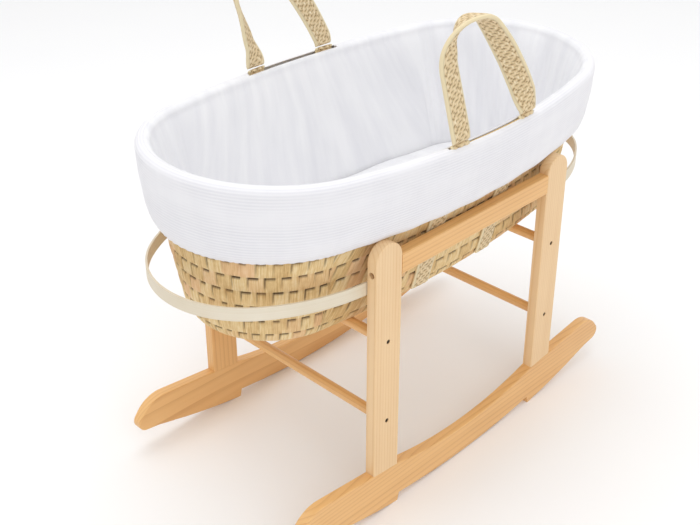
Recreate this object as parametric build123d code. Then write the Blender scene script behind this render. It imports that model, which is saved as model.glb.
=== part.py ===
from build123d import *
from math import atan2, cos, degrees, hypot, radians, sin, sqrt
import os

# A moses basket that stands between the side rails of a rocking stand.
# Millimetres. X runs along the basket, Y across it, Z up.
# The origin is on the floor, midway along and across.

# Stand: boards
board_t = 18.0            # thickness of the posts, rails and rockers
post_w = 52.0             # width of a post, seen from the side
post_gap = 341.0          # clear length between the two posts of one side
stand_w = 390.0           # width over the outer faces of the posts
rail_top_z = 439.0        # top edge of the side rails, where the round post tops begin
rail_h = 32.0             # height of a side rail
edge_r = 2.0              # rounding of the long edges of the boards

# Stand: rockers
rock_r = 1250.0           # radius of the rocking arcs on the underside
middle_lift = 1.5         # height of the middle arc above the floor at rest
lug_in_x = 169.0          # where the stop lug meets the floor, nearer the middle
lug_land = 12.0           # length of the lug's flat rest
lug_lean = 3.0            # how far the lug's inner face leans over its height
waist_z = 52.0            # top of the rocker at the middle
seat_in_z = 73.5          # top of the rocker at the inner edge of a post
seat_out_z = 78.8         # top of the rocker at the outer edge of a post
shoulder_x = 352.0        # where the top edge would turn down if the tip weren't rounded
shoulder_z = 93.0
nose_x = 391.0            # lower corner of the tip before rounding
nose_z = 42.0
heel_x = 340.0            # where the underside turns level towards the tip
heel_z = 34.5
shoulder_r = 52.0
nose_r = 15.0
heel_r = 70.0

# Stand: round crossbars and fasteners
bar_d = 16.0
lower_bar_z = 170.0
upper_bar_z = 308.0
bar_seat = 9.0            # depth of a crossbar's blind seat in a post
fit_gap = 0.1             # radial clearance of pins, bolts and bars in their holes
screw_d = 3.6
screw_head_d = 7.0
screw_head_h = 2.6
screw_sink = 1.2          # how far a screw head lies under the face of the post
screw_len = 34.0          # shank length under the head
bolt_d = 6.0
bolt_head_d = 9.4
bolt_head_h = 4.0
bolt_sink = 14.0          # depth of the bolt head's counterbore
bolt_in_rail = 27.0       # length of bolt inside the rail
nut_d = 10.0
nut_len = 13.0
nut_back = 20.0           # distance of the barrel nut from the rail's end
rail_pin_d = 6.0
rail_pin_len = 28.0
rail_pin_drop = 10.0      # how far the pin lies under the bolt
post_pin_d = 8.0
post_pin_len = 40.0
post_pin_step = 28.0      # distance between the two pins of a post
long_screw_d = 5.0
long_screw_head_d = 9.6
long_screw_head_h = 3.0
long_screw_len = 78.0
long_screw_seat_z = 33.0  # height of the seat of the long screw's head above the floor

# Stand: bent strips round the basket's ends
hoop_reach = 226.0        # from the post centre to the far end of the strip
hoop_end_r = 150.0
hoop_t = 3.0
hoop_h = 20.0
hoop_mid_z = 398.0
hoop_tab = 16.0           # flat length of strip inside the post, inward of the post's centre
hoop_screw_len = 15.0
hoop_screw_head_h = 1.8

# Basket: ovals at three heights, outer surface of the plait
rest_gap = 0.3            # air between the basket and what it stands on, and between soft pieces
base_half_l = 362.0
rim_half_l = 404.0
base_in = 35.7            # how far the basket's foot lies inside the rails' inner faces
rim_out = 32.0            # how far the rim stands out past them
rim_level_z = 562.0
lip_out = 0.8             # further spread of the wall's line from the rim up to the handles' hinges
end_round = 0.876         # end radius as a share of the half width
wall_t = 7.0
base_t = 8.0
foot_row_h = 19.0         # height of the lowest row of plait, which turns under
row_count = 9             # rows of plait above the lowest one
row_lap = 0.6             # how far a row's lower edge stands out, and its upper edge lies back
foot_tuck = 9.0           # how far the lowest row is drawn in under the basket
bead_r = 3.4              # bound edge on top of the wall

# Handles
handle_x = 75.0           # half the distance between the feet of a handle
handle_w = 36.0
handle_t = 7.0
tail_t = 4.5              # the same strap pressed flat where it is sewn to the wall
tail_gap = 0.7            # between the sewn strap and the smooth wall line
rail_clear = 0.6          # between the sewn strap and the side rail it passes
hinge_z = 583.5
laid_out = 120.0          # how far a handle turns outward from upright
fold_gap = 1.5            # room under a handle that is laid right out
lean_out = 17.2           # lean of the taller strand, degrees from upright
lean_in = 27.9            # lean of the other strand
fall = 47.6               # slope below level where the round crown ends
foot_bend_r = 25.0
crown_r = 46.9
handle_steps = 22

# Cover: skirt, padded roll over the rim, liner
roll_r = 11.0
roll_hole_r = 6.9
roll_shift = -0.3         # from the wall's outer line to the middle of the roll
roll_mid_z = 567.0
skirt_t = roll_r - roll_hole_r
hem_z = 466.2
hem_off_end = 9.0         # from the wall's outer line to the hem's outside, at the ends
hem_off_side = 15.0       # and at the sides
slit_past_foot = 32.0     # how far each slit runs on past the handle's feet
slit_in = 7.0             # the slit's edges, from the wall's outer line
slit_out = 6.2
liner_t = 9.0
liner_floor_t = 4.0
elastic_t = 1.6
elastic_h = 7.0

# Mattress
mattress_t = 47.0
mattress_gap = 2.0        # all round, to the liner
mattress_crown = 7.0      # rise of the middle over the edge
crown_shape = [(0.45, 0.19), (0.8, 0.40), (1.0, 0.72)]   # share of the rise, share of the half width
mattress_skin = 1.6

# Places worked out from the sizes above
post_x = post_gap / 2 + post_w / 2
face_y = stand_w / 2                      # outer faces of posts, rails and rockers
inner_y = face_y - board_t
bolt_z = rail_top_z - rail_h / 2
basket_z = upper_bar_z + bar_d / 2 + rest_gap
wall_top_z = roll_mid_z - bead_r - rest_gap
base_top_z = basket_z + base_t
liner_z = base_top_z + rest_gap
mattress_z = liner_z + liner_floor_t + rest_gap

SIDES = (-1, 1)


def side_radius(half_l, half_w, r):
    # Radius of the long side arcs that join the end arcs of an oval smoothly.
    return (half_l ** 2 + half_w ** 2 - 2 * half_l * r) / (2 * (half_w - r))


def side_bow(half_l, half_w, x):
    # How far an oval's side curves away from its middle at a distance x along it.
    side_r = side_radius(half_l, half_w, end_round * half_w)
    return side_r - sqrt(side_r ** 2 - x ** 2)


# The sewn straps just clear the rails at the edges that lie nearest the middle.
base_half_w = inner_y - base_in
rim_half_w = inner_y + rim_out
waist_half_l = base_half_l + (rim_half_l - base_half_l) * (rail_top_z - basket_z) / (rim_level_z - basket_z)
waist_half_w = inner_y - rail_clear - tail_t - tail_gap
waist_half_w += side_bow(waist_half_l, waist_half_w, handle_x - handle_w / 2)


def save(shape, name):
    os.makedirs("parts", exist_ok=True)
    export_step(shape, f"parts/{name}.step")


def group(solids):
    return Compound(children=list(solids))


def rod(diameter, start, end):
    # A round bar from one point to another.
    a, b = Vector(*start), Vector(*end)
    return Solid.make_cylinder(diameter / 2, (b - a).length, Plane(origin=a, z_dir=b - a))


def arc_xz(sketch_face, y_from, depth):
    # A face drawn in the XZ plane, given a thickness along +Y from y_from.
    return extrude(Plane.XZ.offset(-y_from) * sketch_face, amount=-depth)


# Ovals: two end arcs of radius r joined by two long side arcs.
def oval_wire(half_l, half_w, r, z):
    side_r = side_radius(half_l, half_w, r)
    end_x = half_l - r
    reach = hypot(end_x, side_r - half_w)
    jx = end_x + r * end_x / reach
    jy = r * (side_r - half_w) / reach
    arcs = [
        ThreePointArc((jx, -jy, z), (half_l, 0, z), (jx, jy, z)),
        ThreePointArc((jx, jy, z), (0, half_w, z), (-jx, jy, z)),
        ThreePointArc((-jx, jy, z), (-half_l, 0, z), (-jx, -jy, z)),
        ThreePointArc((-jx, -jy, z), (0, -half_w, z), (jx, -jy, z)),
    ]
    return Wire(arcs)


def between(z, levels):
    # Straight interpolation in a list of (z, value, value) levels, carried on past both ends.
    low, high = levels[0], levels[1]
    for k in range(1, len(levels) - 1):
        if z > levels[k][0]:
            low, high = levels[k], levels[k + 1]
    share = (z - low[0]) / (high[0] - low[0])
    return [a + (b - a) * share for a, b in zip(low[1:], high[1:])]


wall_levels = [
    (basket_z, base_half_l, base_half_w),
    (rail_top_z, waist_half_l, waist_half_w),
    (rim_level_z, rim_half_l, rim_half_w),
    (hinge_z, rim_half_l + lip_out, rim_half_w + lip_out),
]


def wall_oval(z, grow):
    # The basket's own oval at height z, moved outward by grow.
    half_l, half_w = between(z, wall_levels)
    return oval_wire(half_l + grow, half_w + grow, end_round * half_w + grow, z)


def stack(wires):
    return Solid.make_loft(wires, ruled=True)


def wall_stack(steps):
    # A solid through the basket's ovals, from a list of (z, grow).
    return stack([wall_oval(z, grow) for z, grow in steps])


# Stand
def rocker_outline():
    post_in = post_gap / 2
    post_out = post_in + post_w
    lug_top_x = lug_in_x - lug_lean
    lug_top_z = middle_lift + rock_r - sqrt(rock_r ** 2 - lug_top_x ** 2)
    land_end = lug_in_x + lug_land
    sag_x, sag_z = (land_end + heel_x) / 2, heel_z / 2
    chord = hypot(heel_x - land_end, heel_z)
    sag = rock_r - sqrt(rock_r ** 2 - (chord / 2) ** 2)
    sag_x += sag * heel_z / chord
    sag_z -= sag * (heel_x - land_end) / chord
    under = [
        ThreePointArc((-lug_top_x, lug_top_z), (0, middle_lift), (lug_top_x, lug_top_z)),
    ]
    for s in SIDES:
        under += [
            Line((s * lug_top_x, lug_top_z), (s * lug_in_x, 0)),
            Line((s * lug_in_x, 0), (s * land_end, 0)),
            ThreePointArc((s * land_end, 0), (s * sag_x, sag_z), (s * heel_x, heel_z)),
            Line((s * heel_x, heel_z), (s * nose_x, nose_z)),
            Line((s * nose_x, nose_z), (s * shoulder_x, shoulder_z)),
            Line((s * shoulder_x, shoulder_z), (s * post_out, seat_out_z)),
            Line((s * post_out, seat_out_z), (s * post_in, seat_in_z)),
        ]
    top = ThreePointArc((-post_in, seat_in_z), (0, waist_z), (post_in, seat_in_z))
    outline = make_face(under + [top])
    for x, z, r in (
        (shoulder_x, shoulder_z, shoulder_r),
        (nose_x, nose_z, nose_r),
        (heel_x, heel_z, heel_r),
    ):
        for s in SIDES:
            corner = outline.vertices().sort_by_distance((s * x, z, 0))[0]
            outline = fillet(corner, r)
    return outline


def seat_z(x):
    # Height of the rocker's straight seat for a post at a distance x from the middle.
    return seat_in_z + (seat_out_z - seat_in_z) * (abs(x) - post_gap / 2) / post_w


def rocker(side):
    y0 = side * face_y if side < 0 else inner_y
    body = arc_xz(rocker_outline(), y0, board_t)
    post_in, post_out = post_gap / 2, post_gap / 2 + post_w
    rounded = []
    for edge in body.edges():
        middle = edge @ 0.5
        along = abs((edge % 0.5).Y) < 0.1
        at_seat = post_in - 1 < abs(middle.X) < post_out + 1 and middle.Z > waist_z
        at_lug = middle.Z < nose_z and lug_in_x - lug_lean - 1 < abs(middle.X) < lug_in_x + lug_land + 1
        if along and not at_seat and not at_lug:
            rounded.append(edge)
    body = fillet(rounded, edge_r)
    mid_y = side * (face_y - board_t / 2)
    for s in SIDES:
        for x in pin_places(s):
            body -= rod(
                post_pin_d + 2 * fit_gap,
                (x, mid_y, seat_z(x) - post_pin_len / 2 - 1),
                (x, mid_y, shoulder_z),
            )
        body -= rod(long_screw_d + 2 * fit_gap, (s * post_x, mid_y, 0), (s * post_x, mid_y, shoulder_z))
        body -= rod(
            long_screw_head_d + 4 * fit_gap,
            (s * post_x, mid_y, -1),
            (s * post_x, mid_y, long_screw_seat_z),
        )
    return body


def pin_places(s):
    return [s * post_x + k * post_pin_step / 2 for k in SIDES]


def post(end, side):
    # One upright board with a round top, cut below to the rocker's seat.
    x_in, x_out = end * post_gap / 2, end * (post_gap / 2 + post_w)
    top_z = rail_top_z + post_w / 2
    outline = make_face([
        Line((x_in, seat_in_z), (x_out, seat_out_z)),
        Line((x_out, seat_out_z), (x_out, rail_top_z)),
        ThreePointArc((x_out, rail_top_z), (end * post_x, top_z), (x_in, rail_top_z)),
        Line((x_in, rail_top_z), (x_in, seat_in_z)),
    ])
    y0 = side * face_y if side < 0 else inner_y
    body = arc_xz(outline, y0, board_t)
    rounded = [e for e in body.edges() if abs((e % 0.5).Y) < 0.1 and (e @ 0.5).Z > seat_out_z + 1]
    body = fillet(rounded, edge_r)
    mid_y = side * (face_y - board_t / 2)
    x = end * post_x
    for z in (lower_bar_z, upper_bar_z):
        body -= rod(bar_d + 2 * fit_gap, (x, side * (inner_y + bar_seat), z), (x, side * (inner_y - 1), z))
        body -= rod(screw_d + 2 * fit_gap, (x, side * inner_y, z), (x, side * face_y, z))
        body -= rod(screw_head_d + 2 * fit_gap, (x, side * (face_y - screw_sink - screw_head_h), z),
                    (x, side * (face_y + 1), z))
    body -= rod(bolt_d + 2 * fit_gap, (x_in - end, mid_y, bolt_z), (x_out + end, mid_y, bolt_z))
    body -= rod(
        bolt_head_d + 2 * fit_gap,
        (x_out - end * bolt_sink, mid_y, bolt_z),
        (x_out + end, mid_y, bolt_z),
    )
    pin_z = bolt_z - rail_pin_drop
    body -= rod(
        rail_pin_d + 2 * fit_gap,
        (x_in - end, mid_y, pin_z),
        (x_in + end * (rail_pin_len / 2 + 1), mid_y, pin_z),
    )
    for px in pin_places(end):
        body -= rod(
            post_pin_d + 2 * fit_gap,
            (px, mid_y, seat_in_z - 2),
            (px, mid_y, seat_z(px) + post_pin_len / 2 + 1),
        )
    body -= rod(long_screw_d + 2 * fit_gap, (x, mid_y, seat_in_z - 2),
                (x, mid_y, long_screw_seat_z + long_screw_len + 1))
    hx = end * (post_x - hoop_tab / 2)
    body -= rod(screw_d + 2 * fit_gap, (hx, side * (inner_y - 1), hoop_mid_z),
                (hx, side * (inner_y + hoop_screw_len - hoop_t + 1), hoop_mid_z))
    return body


def side_rail(side):
    mid_y = side * (face_y - board_t / 2)
    rail = Pos(0, mid_y, rail_top_z - rail_h / 2) * Box(post_gap, board_t, rail_h)
    rail = fillet(rail.edges().filter_by(Axis.X), edge_r)
    for s in SIDES:
        end_x = s * post_gap / 2
        inside_x = end_x - s * (bolt_in_rail + 2)
        nut_x = end_x - s * nut_back
        pin_z = bolt_z - rail_pin_drop
        rail -= rod(bolt_d + 2 * fit_gap, (inside_x, mid_y, bolt_z), (end_x + s, mid_y, bolt_z))
        rail -= rod(nut_d + 2 * fit_gap, (nut_x, side * (inner_y - 1), bolt_z),
                    (nut_x, side * (inner_y + (board_t + nut_len) / 2 + 0.5), bolt_z))
        rail -= rod(
            rail_pin_d + 2 * fit_gap,
            (end_x - s * (rail_pin_len / 2 + 1), mid_y, pin_z),
            (end_x + s, mid_y, pin_z),
        )
    return rail


def crossbar(end, z):
    # A round bar across the stand, with a pilot hole for a screw in each end.
    x = end * post_x
    reach = inner_y + bar_seat
    bar = rod(bar_d, (x, -reach, z), (x, reach, z))
    for s in SIDES:
        bar -= rod(screw_d + 2 * fit_gap, (x, s * (reach - screw_len), z), (x, s * (reach + 1), z))
    return bar


def cross_recess(size, depth, where, axis):
    # Two crossed slots for a driver.
    slot = Box(size, size / 4, depth) + Box(size / 4, size, depth)
    return Plane(origin=where, z_dir=axis) * slot


def bar_screws():
    made = []
    for end in SIDES:
        for side in SIDES:
            for z in (lower_bar_z, upper_bar_z):
                x = end * post_x
                head_y = face_y - screw_sink
                seat_y = head_y - screw_head_h
                head = rod(screw_head_d, (x, side * seat_y, z), (x, side * head_y, z))
                shank = rod(screw_d, (x, side * (seat_y - screw_len + 8), z), (x, side * seat_y, z))
                recess = cross_recess(screw_head_d * 0.6, 2.4, (x, side * head_y, z), (0, side, 0))
                made.append(head + shank - recess)
    return group(made)


def rail_bolts():
    made = []
    for end in SIDES:
        for side in SIDES:
            y = side * (face_y - board_t / 2)
            seat_x = post_gap / 2 + post_w - bolt_sink
            tip_x = post_gap / 2 - bolt_in_rail
            head = rod(bolt_head_d, (end * seat_x, y, bolt_z), (end * (seat_x + bolt_head_h), y, bolt_z))
            shank = rod(bolt_d, (end * tip_x, y, bolt_z), (end * seat_x, y, bolt_z))
            key = extrude(Plane(origin=(end * (seat_x + bolt_head_h), y, bolt_z), z_dir=(-end, 0, 0))
                          * RegularPolygon(bolt_d * 0.42, 6), amount=bolt_head_h * 0.6)
            made.append(head + shank - key)
    return group(made)


def barrel_nuts():
    made = []
    for end in SIDES:
        for side in SIDES:
            x = end * (post_gap / 2 - nut_back)
            mid_y = side * (face_y - board_t / 2)
            nut = rod(nut_d, (x, mid_y - nut_len / 2, bolt_z), (x, mid_y + nut_len / 2, bolt_z))
            nut -= rod(bolt_d + 2 * fit_gap, (x - nut_d, mid_y, bolt_z), (x + nut_d, mid_y, bolt_z))
            made.append(nut)
    return group(made)


def rail_pins():
    made = []
    for end in SIDES:
        for side in SIDES:
            x, y, z = end * post_gap / 2, side * (face_y - board_t / 2), bolt_z - rail_pin_drop
            made.append(rod(rail_pin_d, (x - rail_pin_len / 2, y, z), (x + rail_pin_len / 2, y, z)))
    return group(made)


def post_pins():
    made = []
    for end in SIDES:
        for side in SIDES:
            for x in pin_places(end):
                y = side * (face_y - board_t / 2)
                z = seat_z(x)
                made.append(rod(post_pin_d, (x, y, z - post_pin_len / 2), (x, y, z + post_pin_len / 2)))
    return group(made)


def long_screws():
    made = []
    for end in SIDES:
        for side in SIDES:
            x, y = end * post_x, side * (face_y - board_t / 2)
            low = long_screw_seat_z - long_screw_head_h
            head = rod(long_screw_head_d, (x, y, low), (x, y, long_screw_seat_z))
            shank = rod(long_screw_d, (x, y, long_screw_seat_z), (x, y, long_screw_seat_z + long_screw_len))
            recess = cross_recess(long_screw_head_d * 0.6, 3.0, (x, y, low), (0, 0, 1))
            made.append(head + shank - recess)
    return group(made)


def hoop_line(grow, end):
    # One face of the bent strip: flat tab, two arcs of a half oval, and the same back.
    half_w = inner_y - hoop_t / 2 + grow
    reach = hoop_reach + grow
    r = hoop_end_r + grow
    side_r = side_radius(reach, half_w, r)
    end_x = reach - r
    span = hypot(end_x, side_r - half_w)
    turn = atan2(side_r - half_w, end_x)
    jx = end_x + r * end_x / span
    jy = r * (side_r - half_w) / span
    half = (turn + radians(90)) / 2
    mx, my = side_r * cos(half), half_w - side_r + side_r * sin(half)
    x0 = post_x
    tab_x = x0 - hoop_tab

    def place(x, y):
        return (end * (x0 + x), y)

    return [
        Line((end * tab_x, -half_w), place(0, -half_w)),
        ThreePointArc(place(0, -half_w), place(mx, -my), place(jx, -jy)),
        ThreePointArc(place(jx, -jy), place(reach, 0), place(jx, jy)),
        ThreePointArc(place(jx, jy), place(mx, my), place(0, half_w)),
        Line(place(0, half_w), (end * tab_x, half_w)),
    ]


def hoop(end):
    outer, inner = hoop_line(hoop_t / 2, end), hoop_line(-hoop_t / 2, end)
    caps = [Line(outer[0] @ 0, inner[0] @ 0), Line(outer[-1] @ 1, inner[-1] @ 1)]
    strip = extrude(Pos(0, 0, hoop_mid_z - hoop_h / 2) * make_face(outer + inner + caps), amount=hoop_h)
    hx = end * (post_x - hoop_tab / 2)
    for side in SIDES:
        strip -= rod(screw_d + 2 * fit_gap, (hx, side * (inner_y - hoop_t - 1), hoop_mid_z),
                     (hx, side * (inner_y + 1), hoop_mid_z))
    return strip


def hoop_screws():
    made = []
    for end in SIDES:
        for side in SIDES:
            x, z = end * (post_x - hoop_tab / 2), hoop_mid_z
            seat_y = inner_y - hoop_t
            head = rod(screw_head_d, (x, side * (seat_y - hoop_screw_head_h), z), (x, side * seat_y, z))
            shank = rod(screw_d, (x, side * seat_y, z), (x, side * (seat_y + hoop_screw_len), z))
            recess = cross_recess(
                screw_head_d * 0.6, 1.6, (x, side * (seat_y - hoop_screw_head_h), z), (0, side, 0)
            )
            made.append(head + shank - recess)
    return group(made)


# Basket
def row_edges():
    # Heights of the seams between the rows of plait.
    pitch = (wall_top_z - basket_z - foot_row_h) / row_count
    return [basket_z + foot_row_h + k * pitch for k in range(row_count + 1)]


def basket_wall():
    # Rows of plait, each with its lower edge lapped over the row below, drawn in under the basket.
    seams = row_edges()
    steps = [
        (basket_z, -foot_tuck),
        (basket_z + 2, -foot_tuck / 2),
        (basket_z + 7, -1),
        (seams[0], -row_lap),
    ]
    for low, high in zip(seams[:-1], seams[1:]):
        steps += [(low + 0.5, row_lap), (high, -row_lap)]
    outer = wall_stack(steps)
    hole = wall_stack([(z, -wall_t) for z in (base_top_z, rail_top_z, rim_level_z, wall_top_z + 1)])
    well = wall_stack([(basket_z - 1, -foot_tuck - 2), (base_top_z, -foot_tuck - 2)])
    return outer - hole - well


def basket_base():
    grow = -foot_tuck - 2 - rest_gap
    return extrude(make_face(wall_oval(basket_z, grow).edges()), amount=base_t, dir=(0, 0, 1))


def ring(profile, grow, z):
    # A profile drawn in the XZ plane about x = 0, carried round the oval at height z as four turned pieces.
    half_l, half_w = between(rim_level_z, wall_levels)
    r = end_round * half_w + grow
    half_l, half_w = half_l + grow, half_w + grow
    side_r = side_radius(half_l, half_w, r)
    end_x = half_l - r
    turn = degrees(atan2(side_r - half_w, end_x))
    made = None
    for centre, radius, start, sweep_deg in (
        ((end_x, 0), r, -turn, 2 * turn),
        ((0, half_w - side_r), side_r, turn, 180 - 2 * turn),
        ((-end_x, 0), r, 180 - turn, 2 * turn),
        ((0, side_r - half_w), side_r, 180 + turn, 180 - 2 * turn),
    ):
        axis = Axis((centre[0], centre[1], z), (0, 0, 1))
        section = Pos(centre[0], centre[1], z) * Rot(0, 0, start) * Pos(radius, 0, 0) * (Plane.XZ * profile)
        piece = revolve(section, axis, sweep_deg)
        made = piece if made is None else made + piece
    return made


def basket_rim():
    return ring(Circle(bead_r), -wall_t / 2, roll_mid_z)


def side_strip(steps_out, steps_in, x_from, x_to, side):
    # The part of a thin oval shell that lies between two places along one side.
    shell = wall_stack(steps_out) - wall_stack(steps_in)
    low, high = steps_out[0][0] - 1, steps_out[-1][0] + 1
    window = Pos((x_from + x_to) / 2, side * rim_half_w / 2 + side * 20, (low + high) / 2) * Box(
        x_to - x_from, rim_half_w + 60, high - low)
    return shell & window


def fold_room(x, side):
    # What the foot of a handle sweeps over the top of the sewn strap when it is laid out.
    y = side * hinge_y()
    barrel = rod(handle_t + 2 * rest_gap, (x - handle_w, y, hinge_z), (x + handle_w, y, hinge_z))
    slab = Pos(0, side * handle_w / 2, 0) * Box(2 * handle_w, handle_w, handle_t + 2 * fold_gap)
    return barrel + Pos(x, y, hinge_z) * Rot(-side * (laid_out - 90), 0, 0) * slab


def handle_tails(side):
    # The two ends of a handle's strap, pressed flat and sewn down the outside of the wall.
    heights = (basket_z + foot_row_h / 2, rail_top_z, rim_level_z, hinge_z)
    out = [(z, tail_gap + tail_t) for z in heights]
    inside = [(z, tail_gap) for z in heights]
    made = []
    for s in SIDES:
        x = s * handle_x
        strap = side_strip(out, inside, x - handle_w / 2, x + handle_w / 2, side) - fold_room(x, side)
        made += strap.solids()
    return group(made)


def hinge_y():
    half_l, half_w = between(hinge_z, wall_levels)
    return half_w + tail_gap + tail_t / 2 - side_bow(half_l, half_w, handle_x)


def arc_move(h_from, h_to):
    # Displacement along a clockwise arc of radius 1 between two headings, in radians.
    return sin(h_from) - sin(h_to), cos(h_to) - cos(h_from)


def handle_runs():
    # The handle's centre line in its own plane: foot arc, straight, round crown, long arc, foot arc.
    # The straight's length and the long arc's radius follow from where both feet stand.
    up, out, down, low = radians(90), radians(90 + lean_out), radians(-fall), radians(lean_in - 90)
    first = [-c * foot_bend_r for c in arc_move(up, out)]
    crown = [c * crown_r for c in arc_move(out, down)]
    last = [c * foot_bend_r for c in arc_move(low, -up)]
    left_x = 2 * handle_x - first[0] - crown[0] - last[0]
    left_z = -first[1] - crown[1] - last[1]
    line_x, line_z = cos(out), sin(out)
    arc_x, arc_z = arc_move(down, low)
    det = line_x * arc_z - arc_x * line_z
    straight = (left_x * arc_z - arc_x * left_z) / det
    long_r = (line_x * left_z - left_x * line_z) / det
    return [
        (up, out, foot_bend_r * radians(lean_out), foot_bend_r),
        (out, out, straight, None),
        (out, down, crown_r * (out - down), crown_r),
        (down, low, long_r * (down - low), long_r),
        (low, -up, foot_bend_r * radians(lean_in), foot_bend_r),
    ]


def handle_point(s):
    # Place and heading at a length s along the centre line, from the first foot.
    x, z = -handle_x, hinge_z
    for h_from, h_to, length, r in handle_runs():
        part = min(s, length)
        h = h_from + (h_to - h_from) * part / length
        if r is None:
            x, z = x + part * cos(h), z + part * sin(h)
        else:
            bend = 1 if h_to < h_from else -1
            x += bend * r * (sin(h_from) - sin(h))
            z += bend * r * (cos(h) - cos(h_from))
        s -= part
        if s <= 0:
            break
    return x, z, h


def handle_twist(share):
    # The flat strap faces outward at its feet and turns to lie over the hand at the crown.
    stops = [(0, 0), (0.3, 4), (0.48, 80), (0.75, 56), (0.9, 34), (1, 0)]
    for (a, low), (b, high) in zip(stops[:-1], stops[1:]):
        if share <= b:
            t = (share - a) / (b - a)
            t = t * t * (3 - 2 * t)
            return radians(low + (high - low) * t)
    return 0


def handle_loop(side):
    # A flat strap carried along the centre line, with rounded feet on the hinge line.
    # The back handle is the front one turned round in its twist only.
    length = sum(run[2] for run in handle_runs())
    y = side * hinge_y()
    wires = []
    for k in range(handle_steps + 1):
        share = k / handle_steps
        x, z, h = handle_point(share * length)
        a = handle_twist(share if side < 0 else 1 - share)
        across = Vector(sin(h) * cos(a), sin(a), -cos(h) * cos(a)) * (handle_w / 2)
        through = Vector(-sin(h) * sin(a), cos(a), cos(h) * sin(a)) * (handle_t / 2)
        middle = Vector(x, y, z)
        corners = [middle + across + through, middle - across + through,
                   middle - across - through, middle + across - through]
        wires.append(Wire.make_polygon(corners, close=True))
    loop = stack(wires)
    for s in SIDES:
        x = s * handle_x
        foot = rod(handle_t, (x - handle_w / 2, y, hinge_z), (x + handle_w / 2, y, hinge_z))
        lower = Pos(x, y, hinge_z - handle_t / 2) * Box(handle_w, handle_t, handle_t)
        loop += foot & lower
    return loop


# Cover
def skirt_steps():
    # Outer surface of the skirt from its hem up to the roll: (z, half length, half width).
    top_l, top_w = rim_half_l + roll_shift + roll_r, rim_half_w + roll_shift + roll_r
    wall_l, wall_w = between(hem_z, wall_levels)
    hem_half_l, hem_half_w = wall_l + hem_off_end, wall_w + hem_off_side
    height = roll_mid_z - hem_z
    shape = [(0.0, 0.0), (0.03, 0.22), (0.10, 0.42), (0.28, 0.66), (0.70, 0.95), (1.0, 1.0)]
    return [(hem_z + height * t,
             hem_half_l + (top_l - hem_half_l) * k,
             hem_half_w + (top_w - hem_half_w) * k)
            for t, k in shape]


def skirt_oval(step, grow):
    z, half_l, half_w = step
    end_r = end_round * rim_half_w + (half_w - rim_half_w) + grow
    return oval_wire(half_l + grow, half_w + grow, end_r, z)


def cover_skirt():
    steps = skirt_steps()
    outer = stack([skirt_oval(s, 0) for s in steps])
    low, high = steps[0], steps[-1]
    inner_steps = [(low[0] - 1, low[1], low[2])] + steps[1:-1]
    inner_steps = inner_steps + [(high[0], high[1], high[2]), (high[0] + 1, high[1], high[2])]
    return outer - stack([skirt_oval(s, -skirt_t) for s in inner_steps])


def hem_elastic():
    # A flat elastic band in the hem, just inside the skirt.
    levels = skirt_steps()
    low = levels[1][0] + 2
    steps = []
    for z in (low, low + elastic_h):
        half_l, half_w = between(z, levels)
        steps.append((z, half_l, half_w))
    outside = stack([skirt_oval(s, -skirt_t - rest_gap) for s in steps])
    inside = stack([skirt_oval(s, -skirt_t - rest_gap - elastic_t) for s in steps])
    return outside - inside


def cover_roll():
    # The padded roll over the rim: the upper half of a tube, slit where each handle comes through.
    tube = Circle(roll_r) - Circle(roll_hole_r)
    upper = tube & (Pos(0, roll_r) * Rectangle(4 * roll_r, 2 * roll_r))
    body = ring(upper, roll_shift, roll_mid_z)
    heights = (roll_mid_z - 1, roll_mid_z + roll_r + 1)
    out = [(z, slit_out) for z in heights]
    inside = [(z, -slit_in) for z in heights]
    slit_half = handle_x + handle_w / 2 + slit_past_foot
    for side in SIDES:
        body -= side_strip(out, inside, -slit_half, slit_half, side)
    return body


def cover_liner():
    # The padded lining: inside the wall from the roll down, with a thin floor.
    back = -wall_t - rest_gap
    face = back - liner_t
    top_out = roll_shift - roll_hole_r
    top_in = roll_shift - roll_r
    turn_z = rim_level_z - 14
    outside = wall_stack([
        (liner_z, back), (rail_top_z, back), (turn_z, back), (rim_level_z, back), (roll_mid_z, top_out),
    ])
    floor_z = liner_z + liner_floor_t
    inside = wall_stack([(floor_z, face), (rail_top_z, face), (turn_z, face), (roll_mid_z, top_in),
                         (roll_mid_z + 1, top_in)])
    return outside - inside


# Mattress
def mattress_steps(skin):
    # A crowned pad with drawn-in sides, seen in section: (height, grow), skin moves every face inward.
    body = mattress_t - mattress_crown
    edge = -wall_t - rest_gap - liner_t - mattress_gap
    shape = [
        (0.0, -9.0), (0.07, -3.0), (0.2, -0.6), (0.42, -2.2),
        (0.62, -2.2), (0.84, -0.4), (0.95, -2.6), (1.0, -7.0),
    ]
    steps = [(mattress_z + skin + (body - 2 * skin) * t, edge + g - skin) for t, g in shape]
    half_w = between(mattress_z, wall_levels)[1] + edge
    for rise, inset in crown_shape:
        steps.append((mattress_z + body - skin + mattress_crown * rise, edge - inset * half_w - skin))
    return steps


def mattress(skin):
    return wall_stack(mattress_steps(skin))


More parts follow.
